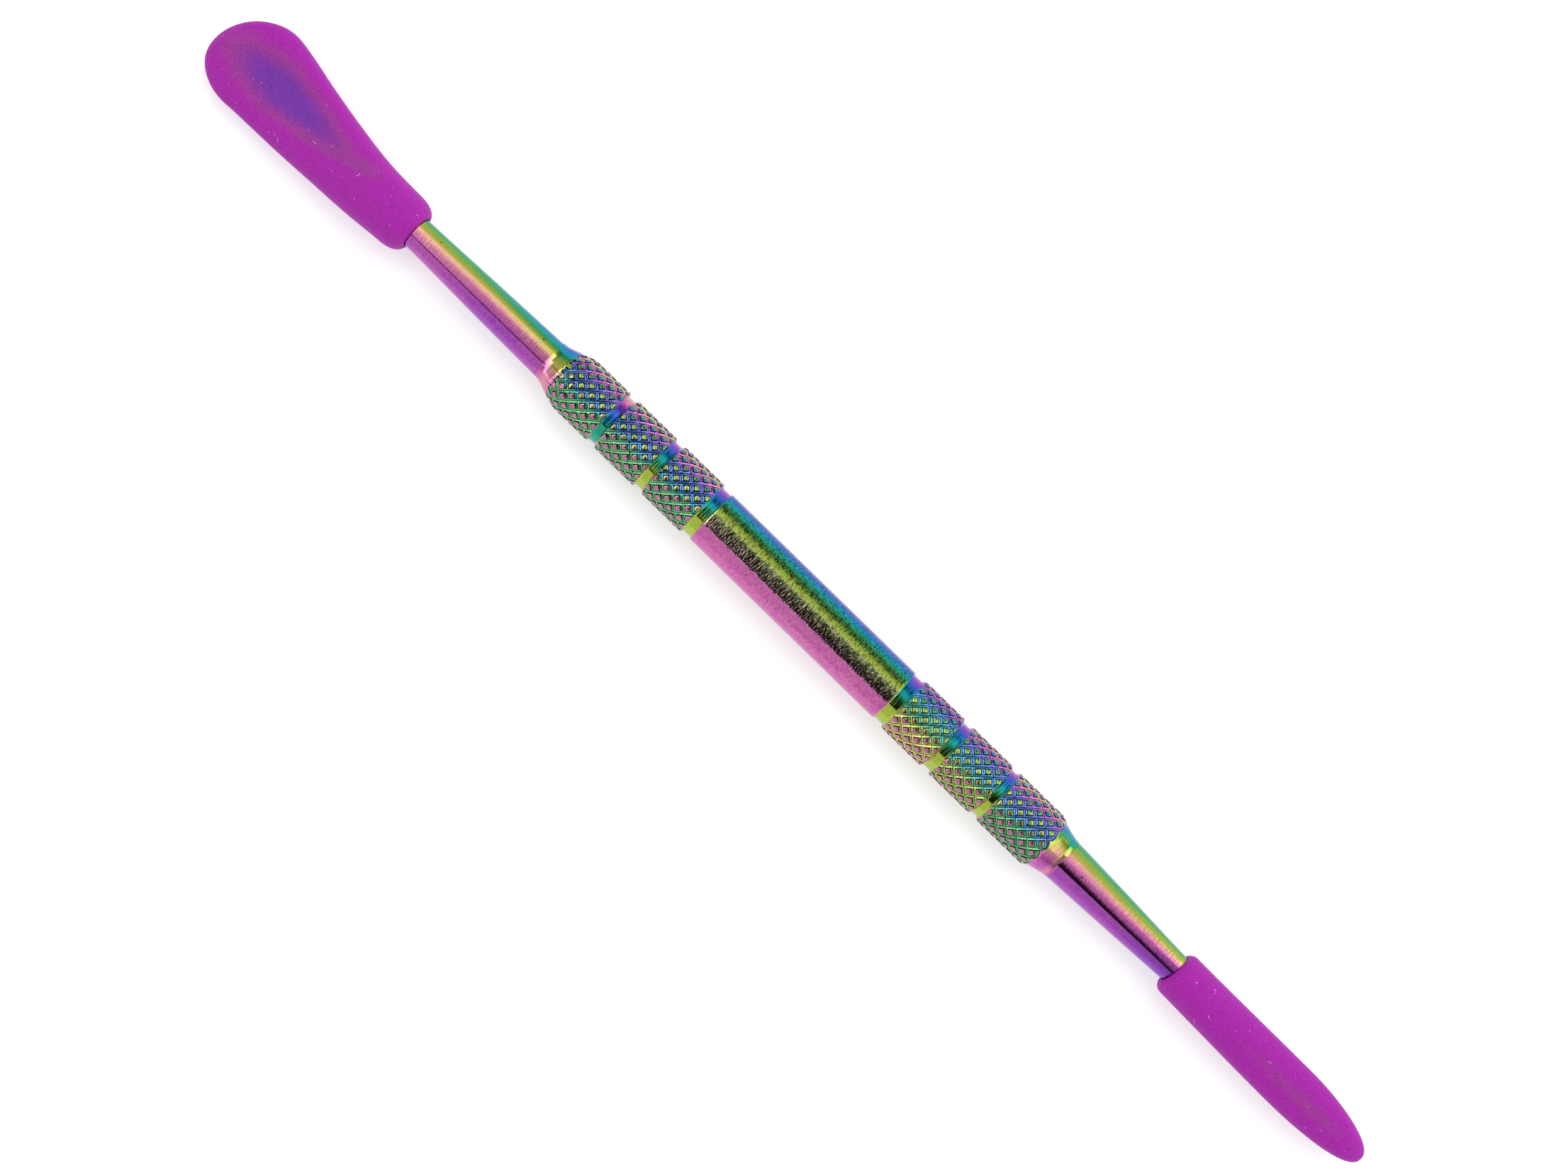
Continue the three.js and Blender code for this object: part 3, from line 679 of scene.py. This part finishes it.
def addNode(tree, kind, settings=None, **links):
    # one node with its settings, and its inputs set to a value or linked from a socket
    node = tree.nodes.new(kind)
    for name, value in (settings or {}).items():
        setattr(node, name, value)
    for name, value in links.items():
        key = int(name[1:]) if name[1:].isdigit() else name.replace("_", " ")
        if isinstance(value, bpy.types.NodeSocket):
            tree.links.new(value, node.inputs[key])
        else:
            node.inputs[key].default_value = value
    return node


def fillRamp(node, stops):
    # a ColorRamp's stops from (place, hex colour or grey number) pairs
    ramp = node.color_ramp
    while len(ramp.elements) < len(stops):
        ramp.elements.new(0.5)
    for element, (place, colour) in zip(ramp.elements, stops):
        element.position = place
        element.color = toLinear(colour) if isinstance(colour, str) else (colour, colour, colour, 1)
    return node


def newMaterial(name):
    # a material that is one Principled shader, with its node tree
    material = bpy.data.materials.new(name)
    material.use_nodes = True
    tree = material.node_tree
    tree.nodes.clear()
    output = tree.nodes.new("ShaderNodeOutputMaterial")
    shader = tree.nodes.new("ShaderNodeBsdfPrincipled")
    tree.links.new(shader.outputs[0], output.inputs[0])
    return material, tree, shader


# Lengths are in mm. The real streaks and grit are finer, and are drawn as coarse as they need to show.
titanium = {
    "cycle": [(0.0, "#BE62A0"), (0.06, "#C67E96"), (0.1, "#CB9088"), (0.15, "#CFA87C"), (0.2, "#C6B466"),
              (0.26, "#AFB64E"), (0.32, "#95AE42"), (0.42, "#45975A"), (0.52, "#1E9483"), (0.6, "#1583AC"),
              (0.7, "#2C63B6"), (0.8, "#5646B2"), (0.9, "#9545AA"), (1.0, "#BE62A0")],
    "bare": "#D8DCDC",  # steel where the film is worn off or nearly colourless, and the pale that painted highlights are mixed towards
    "streak": (0.13, 0.4),  # between the streaks of the drawn surface, and how long they are round the bar
    "line": (0.12, 3),  # the same for the lines that the lathe left
    "grit": 0.13,
    "pitSpacing": 1.3,
    "pitShare": 0.35,  # of the cells that have a pit
    "streakDepth": 0.023,
    "gritDepth": 0.014,
    "lineDepth": 0.026,
    # across a knurl groove, from 0 on the flat to 1 on the helix: the share of pale steel, and of light left
    # by painted shade
    # pale on the flats' rims as worn film and painted highlight, and painted highlight lines along the
    # grooves' walls
    "wearAndHighlight": [(0.0, 0.0), (0.1, 0.0), (0.17, 0.3), (0.22, 0.2), (0.27, 0.0), (0.5, 0.0), (0.64, 0.16),
             (0.8, 0.16), (0.9, 0.0)],
    # painted shade: black along the edges of the flats and at the bottoms of the grooves
    "knurlShade": [(0.0, 1.0), (0.2, 1.0), (0.26, 0.02), (0.43, 0.02), (0.52, 1.0), (0.84, 1.0), (0.98, 0.03)],
    "roughness": 0.11,
}


def rainbowTitanium():
    # Titanium coated stainless bar, turned and knurled: metal whose thin film gives it a different colour
    # at each thickness, short streaks across the bar that break up its reflections, fine turning lines in
    # the grooves, painted dark reflections between the barrel's streaks and a pale band painted along its top
    # for white streak highlights, and knurling painted black as shade along the edges of its flats and at the
    # bottom of its grooves, paled along the flats' rims as worn film and painted highlight, and with painted
    # highlight lines along the grooves' walls.
    t = titanium
    material, tree, shader = newMaterial("rainbow_titanium_steel")
    place = addNode(tree, "ShaderNodeTexCoord").outputs["Object"]
    order, drawnShare, cutPlace, paintedPaleBand, streakShadeShare = [
        addNode(tree, "ShaderNodeAttribute", {"attribute_name": name}).outputs["Fac"]
        for name in ("filmOrder", "drawnShare", "cutPlace", "paintedPaleBand", "streakShadeShare")]

    # streaks and lines are noise that is squeezed along x
    marks = []
    for (spacing, length), detail, roughness in ((t["streak"], 1.0, 0.6), (t["line"], 2.0, 0.5)):
        stretched = addNode(tree, "ShaderNodeMapping", Vector=place,
                            Scale=(1 / (spacing * mm), 1 / (length * mm), 1 / (length * mm)))
        marks.append(addNode(tree, "ShaderNodeTexNoise", Vector=stretched.outputs[0], Scale=1.0,
                             Detail=detail, Roughness=roughness).outputs["Fac"])
    streaks, lines = marks
    grit = addNode(tree, "ShaderNodeTexNoise", Vector=place, Scale=1 / (t["grit"] * mm), Detail=2.0)

    # the film's colour, which wanders a little with the streaks, and pale steel, mixed in for wear and for
    # painted highlights
    wander = addNode(tree, "ShaderNodeMath", {"operation": "MULTIPLY_ADD"}, i0=streaks, i1=0.12, i2=-0.06)
    moved = addNode(tree, "ShaderNodeMath", {"operation": "ADD"}, i0=order, i1=wander.outputs[0])
    cycled = addNode(tree, "ShaderNodeMath", {"operation": "FRACT"}, i0=moved.outputs[0])
    film = fillRamp(addNode(tree, "ShaderNodeValToRGB", Fac=cycled.outputs[0]), t["cycle"])
    wearAndHighlight = fillRamp(addNode(tree, "ShaderNodeValToRGB", Fac=cutPlace), t["wearAndHighlight"])
    paleShare = addNode(tree, "ShaderNodeMath", {"operation": "MAXIMUM"}, i0=wearAndHighlight.outputs[0], i1=paintedPaleBand)
    paled = addNode(tree, "ShaderNodeMix", mixing, i0=paleShare.outputs[0], i6=film.outputs[0],
                   i7=toLinear(t["bare"]))

    # what darkens it: painted shade along the knurl's flat edges and groove bottoms, dark specks in its
    # grooves, pits, and painted dark reflection in the troughs between the streaks
    knurlShade = fillRamp(addNode(tree, "ShaderNodeValToRGB", Fac=cutPlace), t["knurlShade"])
    inCut = addNode(tree, "ShaderNodeMapRange", Value=cutPlace, From_Min=0.15, From_Max=0.4)
    specks = fillRamp(addNode(tree, "ShaderNodeValToRGB", Fac=grit.outputs["Fac"]),
                      [(0.34, 0.6), (0.42, 1.0)])
    cells = addNode(tree, "ShaderNodeTexVoronoi", {"feature": "F1"}, Vector=place,
                    Scale=1 / (t["pitSpacing"] * mm))
    pitAt = addNode(tree, "ShaderNodeMapRange", Value=cells.outputs["Distance"], From_Min=0.04,
                    From_Max=0.09, To_Min=0.25, To_Max=1.0)
    cellPick = addNode(tree, "ShaderNodeSeparateColor", Color=cells.outputs["Color"])
    pitted = addNode(tree, "ShaderNodeMath", {"operation": "LESS_THAN"}, i0=cellPick.outputs[0],
                     i1=t["pitShare"])
    # painted shade: the troughs between the streaks are darkened, as dark reflections
    streakShade = addNode(tree, "ShaderNodeMapRange", Value=streaks, From_Min=0.38, From_Max=0.52,
                      To_Min=0.4, To_Max=1.0)
    colour = paled.outputs[2]
    for share, shade in ((1.0, knurlShade), (inCut.outputs[0], specks), (pitted.outputs[0], pitAt),
                         (streakShadeShare, streakShade)):
        colour = addNode(tree, "ShaderNodeMix", multiplying, i0=share, i6=colour,
                         i7=shade.outputs[0]).outputs[2]
    tree.links.new(colour, shader.inputs["Base Color"])

    # the lathe's lines are plain in the grooves and faint where the bar was drawn
    lineShare = addNode(tree, "ShaderNodeMapRange", Value=drawnShare, From_Max=0.1, To_Min=1.0, To_Max=0.2)
    bump = None
    for mark, share, depth in ((streaks, drawnShare, t["streakDepth"]),
                               (grit.outputs["Fac"], inCut.outputs[0], t["gritDepth"]),
                               (lines, lineShare.outputs[0], t["lineDepth"])):
        height = addNode(tree, "ShaderNodeMath", {"operation": "MULTIPLY"}, i0=mark, i1=share)
        under = {} if bump is None else {"Normal": bump.outputs[0]}
        bump = addNode(tree, "ShaderNodeBump", Strength=1.0, Distance=depth * mm, Height=height.outputs[0],
                       **under)
    tree.links.new(bump.outputs[0], shader.inputs["Normal"])
    shader.inputs["Metallic"].default_value = 1.0
    shader.inputs["Roughness"].default_value = t["roughness"]
    return material


silicone = {
    "skin": "#A41FA4",
    "halo": "#9B3593",
    "bowl": "#7530A3",
    "lint": "#CC80CA",
    # in mm
    "mottle": 0.5,
    "lintSpacing": 0.9,
    "lintDrift": 2.5,  # how far the specks are pulled out of their even spacing
    "driftSize": 1.2,
    "grain": 0.16,
    "grainDepth": 0.02,
}


def purpleSilicone():
    # Moulded silicone rubber: satin, lets a little light in, shows the blue steel under its thin parts, and
    # its tacky skin holds specks of lint. The same tint also paints the lit side of a fold on the spoon's
    # cap, as painted light.
    t = silicone
    material, tree, shader = newMaterial("purple_silicone")
    place = addNode(tree, "ShaderNodeTexCoord").outputs["Object"]
    tintLevel = addNode(tree, "ShaderNodeAttribute", {"attribute_name": "showThroughAndLitFold"}).outputs["Fac"]
    mottle = addNode(tree, "ShaderNodeTexNoise", Vector=place, Scale=1 / (t["mottle"] * mm), Detail=4.0)
    wander = addNode(tree, "ShaderNodeMath", {"operation": "MULTIPLY_ADD"}, i0=mottle.outputs["Fac"],
                     i1=0.24, i2=-0.12)
    # the show-through tint, which on the spoon's cap also holds the painted lit side of a fold
    level = addNode(tree, "ShaderNodeMath", {"operation": "ADD", "use_clamp": True}, i0=tintLevel,
                    i1=wander.outputs[0])
    tint = fillRamp(addNode(tree, "ShaderNodeValToRGB", Fac=level.outputs[0]),
                    [(0.0, t["skin"]), (0.06, t["skin"]), (0.36, t["halo"]), (0.9, t["bowl"]),
                     (1.0, t["bowl"])])

    # lint: a small disc in three of four cells of a pattern whose places drift
    drift = addNode(tree, "ShaderNodeTexNoise", Vector=place, Scale=1 / (t["driftSize"] * mm), Detail=2.0)
    pulled = addNode(tree, "ShaderNodeVectorMath", {"operation": "MULTIPLY_ADD"}, i0=drift.outputs["Color"],
                     i1=(t["lintDrift"] * mm,) * 3, i2=place)
    cells = addNode(tree, "ShaderNodeTexVoronoi", {"feature": "F1"}, Vector=pulled.outputs[0],
                    Scale=1 / (t["lintSpacing"] * mm))
    speck = addNode(tree, "ShaderNodeMath", {"operation": "LESS_THAN"}, i0=cells.outputs["Distance"],
                    i1=0.085)
    cellPick = addNode(tree, "ShaderNodeSeparateColor", Color=cells.outputs["Color"])
    chosen = addNode(tree, "ShaderNodeMath", {"operation": "LESS_THAN"}, i0=cellPick.outputs[0], i1=0.75)
    lintShare = addNode(tree, "ShaderNodeMath", {"operation": "MULTIPLY"}, i0=speck.outputs[0],
                        i1=chosen.outputs[0])
    colour = addNode(tree, "ShaderNodeMix", mixing, i0=lintShare.outputs[0], i6=tint.outputs[0],
                     i7=toLinear(t["lint"]))

    # a mealy grain all over, in the colour and in the surface
    fine = addNode(tree, "ShaderNodeTexNoise", Vector=place, Scale=1 / (t["grain"] * mm), Detail=3.0)
    mealy = fillRamp(addNode(tree, "ShaderNodeValToRGB", Fac=fine.outputs["Fac"]), [(0.3, 0.7), (0.7, 1.05)])
    grained = addNode(tree, "ShaderNodeMix", multiplying, i0=1.0, i6=colour.outputs[2], i7=mealy.outputs[0])
    tree.links.new(grained.outputs[2], shader.inputs["Base Color"])
    bump = addNode(tree, "ShaderNodeBump", Strength=0.6, Distance=t["grainDepth"] * mm,
                   Height=fine.outputs["Fac"])
    tree.links.new(bump.outputs[0], shader.inputs["Normal"])
    shader.inputs["Roughness"].default_value = 0.6
    shader.inputs["IOR"].default_value = 1.41
    shader.inputs["Specular IOR Level"].default_value = 0.3
    shader.inputs["Subsurface Weight"].default_value = 0.25
    shader.inputs["Subsurface Radius"].default_value = (1.0, 0.4, 0.9)
    shader.inputs["Subsurface Scale"].default_value = 0.5 * mm
    return material


studio = {
    "floorSize": 6.0,
    "floorLevel": -0.00002,  # in metres, just clear of the tool
    "floorDip": 0.0004,  # for each metre beyond the first
    "floorColour": "#D9D8D8",
    "floorGlow": 0.4,  # light from under the floor, which keeps the shadow pale
    "viewWidth": 127.1,  # mm across the camera's view at the height of the handle's axis
    "distance": 200,  # mm from the lens to that axis
    "roll": 44.265,  # degrees between the tool and the view's long side
    "middle": (-0.66, 0.0),  # mm along and across from the tool's middle to the view's middle
    "overhead": 1.9,  # watts
    "overheadPlace": (0, 0.4, 0.62),  # in metres
    "overheadSize": (0.9, 0.6),
}


def makeFloor():
    # a wide sheet as a grid of heights, flat for a metre round the tool and dipping evenly beyond it
    count = 40
    line = np.linspace(-0.5, 0.5, count) * studio["floorSize"]
    gx, gy = np.meshgrid(line, line)
    gz = studio["floorLevel"] - studio["floorDip"] * np.clip(np.hypot(gx, gy) - 1, 0, None)
    points = np.stack([gx, gy, gz], axis=-1).reshape(-1, 3)
    a = (np.arange(count - 1)[:, None] * count + np.arange(count - 1)).ravel()
    quads = np.stack([a, a + 1, a + count + 1, a + count], axis=-1)
    mesh = bpy.data.meshes.new("floor")
    mesh.from_pydata(points.tolist(), [], quads.tolist())
    floor = bpy.data.objects.new("floor", mesh)
    bpy.context.scene.collection.objects.link(floor)
    material, tree, shader = newMaterial("lit_white_acrylic")
    shader.inputs["Base Color"].default_value = toLinear(studio["floorColour"])
    shader.inputs["Emission Color"].default_value = (1, 1, 1, 1)
    shader.inputs["Emission Strength"].default_value = studio["floorGlow"]
    shader.inputs["Roughness"].default_value = 0.9
    shader.inputs["Specular IOR Level"].default_value = 0.1
    floor.data.materials.append(material)


# Each patch of the tent is its strength, and its edges in one or more directions: where it begins, is full,
# begins to fade and is gone, with None for an edge that it doesn't have. tilt is in degrees and lean from
# -1 to 1, as makeTent says.
tent = {
    "slant": (0.08, 170),  # past this lean the opening's +Y edge draws in, by degrees for each unit
    "turn": 70,  # degrees that the far gap is turned by, for each unit of lean
    "gaps": [
        # the opening overhead, a gap between the -Y side and the strip light, a gap beyond that light, and a
        # seam between panels at the spoon's end
        (0.98, {"tilt": (-39.5, -37, None, None), "slanted": (None, None, 12, 26),
                "lean": (-0.17, -0.09, 0.33, 0.42)}),
        (0.98, {"tilt": (-39.5, -37, -34, -30), "lean": (-0.45, -0.35, 0.35, 0.45)}),
        (0.98, {"turned": (42, 50, 64, 78), "lean": (-0.15, -0.09, 0.06, 0.16)}),
        (0.686, {"tilt": (-20, -16, -13, -9), "lean": (None, None, -0.66, -0.62)}),
    ],
    "shades": [
        # the strip light and the tent's ends are dimmer than its -Y side
        (0.1, {"tilt": (-38, -30, None, None)}),
        (0.6, {"lean": (-0.64, -0.6, -0.36, -0.28), "tilt": (-80, -60, 70, 85)}),
        (0.6, {"lean": (0.28, 0.36, 0.54, 0.6), "tilt": (-80, -60, 70, 85)}),
        (0.25, {"lean": (None, None, -0.66, -0.6)}),
    ],
    "lamps": [
        # three that put lines of light along the walls of the knurling, one at the blade's end, two that
        # light the cones, and the horizon
        (2.5, {"lean": (-0.64, -0.56, -0.52, -0.44), "tilt": (-90, -70, 0, 10)}),
        (2.5, {"lean": (-0.52, -0.44, -0.38, -0.26), "tilt": (-50, -42, 38, 50)}),
        (2.5, {"lean": (0.3, 0.34, 0.46, 0.5), "tilt": (20, 28, 75, 85)}),
        (0.9, {"lean": (0.56, 0.62, None, None), "tilt": (-9, -2, 55, 65)}),
        (0.5, {"lean": (-0.3, -0.24, -0.16, -0.1), "tilt": (2, 22, 40, 55)}),
        (0.5, {"lean": (0.12, 0.18, 0.24, 0.3), "tilt": (2, 22, 40, 55)}),
        (0.1, {"tilt": (70, 84, None, None)}),
    ],
}


def makeTent():
    # A light tent as the world. Its brightness depends on the tilt of a direction from straight up towards
    # +Y, in degrees, and on how far it leans along the tool, from -1 to 1: the product of the shades, plus
    # the lamps, all dimmed by whichever gap is darkest there. The camera looks in through the opening.
    world = bpy.data.worlds.new("light_tent")
    bpy.context.scene.world = world
    world.use_nodes = True
    tree = world.node_tree
    tree.nodes.clear()
    output = tree.nodes.new("ShaderNodeOutputWorld")
    direction = addNode(tree, "ShaderNodeTexCoord").outputs["Generated"]
    parts = addNode(tree, "ShaderNodeSeparateXYZ", Vector=direction)
    lean = parts.outputs["X"]
    radians = addNode(tree, "ShaderNodeMath", {"operation": "ARCTAN2"}, i0=parts.outputs["Y"],
                      i1=parts.outputs["Z"])
    tilt = addNode(tree, "ShaderNodeMath", {"operation": "DEGREES"}, i0=radians.outputs[0]).outputs[0]
    past = addNode(tree, "ShaderNodeMath", {"operation": "SUBTRACT"}, i0=lean, i1=tent["slant"][0])
    past = addNode(tree, "ShaderNodeMath", {"operation": "MAXIMUM"}, i0=past.outputs[0], i1=0.0)
    slanted = addNode(tree, "ShaderNodeMath", {"operation": "MULTIPLY_ADD"}, i0=past.outputs[0],
                      i1=float(tent["slant"][1]), i2=tilt)
    turned = addNode(tree, "ShaderNodeMath", {"operation": "MULTIPLY_ADD"}, i0=lean, i1=float(tent["turn"]),
                     i2=tilt)
    directions = {"tilt": tilt, "lean": lean, "slanted": slanted.outputs[0], "turned": turned.outputs[0]}

    def patch(strength, windows):
        # strength times an S curve at each edge, which is 1 on its inner side and 0 on its outer side
        share = strength
        for name, edges in windows.items():
            for (low, high), (start, end) in zip((edges[:2], edges[2:]), ((0.0, 1.0), (1.0, 0.0))):
                if low is not None:
                    edge = addNode(tree, "ShaderNodeMapRange", {"interpolation_type": "SMOOTHSTEP"},
                                   Value=directions[name], From_Min=low, From_Max=high, To_Min=start,
                                   To_Max=end)
                    share = addNode(tree, "ShaderNodeMath", {"operation": "MULTIPLY"}, i0=share,
                                    i1=edge.outputs[0]).outputs[0]
        return share

    darkest, bright = 0.0, 1.0
    for gap in tent["gaps"]:
        darkest = addNode(tree, "ShaderNodeMath", {"operation": "MAXIMUM"}, i0=darkest,
                          i1=patch(*gap)).outputs[0]
    for shade in tent["shades"]:
        left = addNode(tree, "ShaderNodeMath", {"operation": "SUBTRACT"}, i0=1.0, i1=patch(*shade))
        bright = addNode(tree, "ShaderNodeMath", {"operation": "MULTIPLY"}, i0=bright,
                         i1=left.outputs[0]).outputs[0]
    for lamp in tent["lamps"]:
        bright = addNode(tree, "ShaderNodeMath", {"operation": "ADD"}, i0=bright, i1=patch(*lamp)).outputs[0]
    undimmed = addNode(tree, "ShaderNodeMath", {"operation": "SUBTRACT"}, i0=1.0, i1=darkest)
    light = addNode(tree, "ShaderNodeMath", {"operation": "MULTIPLY"}, i0=bright, i1=undimmed.outputs[0])
    background = addNode(tree, "ShaderNodeBackground", Color=(1, 1, 1, 1), Strength=light.outputs[0])
    tree.links.new(background.outputs[0], output.inputs[0])


def makeOverheadLight():
    # a big soft lamp over the +Y side that lights the floor and the rubber, and doesn't mirror in the steel
    light = bpy.data.lights.new("overhead_softbox", "AREA")
    light.shape = "RECTANGLE"
    light.size, light.size_y = studio["overheadSize"]
    light.energy = studio["overhead"]
    lamp = bpy.data.objects.new("overhead_softbox", light)
    lamp.location = studio["overheadPlace"]
    lamp.rotation_euler = (-math.atan2(lamp.location.y, lamp.location.z), 0, 0)
    lamp.visible_glossy = False
    bpy.context.scene.collection.objects.link(lamp)


def makeCamera():
    # A lens straight above the tool, looking down and rolled. Its length is the sensor's width times the
    # distance by the width of the view.
    s = studio
    camera = bpy.data.cameras.new("camera")
    camera.sensor_width = 36
    camera.lens = camera.sensor_width * s["distance"] / s["viewWidth"]
    camera.clip_start = 0.01
    camera.clip_end = 20
    eye = bpy.data.objects.new("camera", camera)
    eye.location = (s["middle"][0] * mm, axisY + s["middle"][1] * mm, (axisZ + s["distance"]) * mm)
    eye.rotation_euler = (0, 0, math.radians(s["roll"]))
    bpy.context.scene.collection.objects.link(eye)
    bpy.context.scene.camera = eye


makeCamera()
makeFloor()
makeTent()
makeOverheadLight()
bpy.context.scene.view_settings.view_transform = "Standard"
print("studio ready")

steelFinish = rainbowTitanium()
siliconeFinish = purpleSilicone()
print("materials ready")

makeHandle(steelFinish)
makeSpoonShank(steelFinish)
makeBladeShank(steelFinish)
makeSpoonCap(siliconeFinish)
makeBladeCap(siliconeFinish)
print("pieces ready")
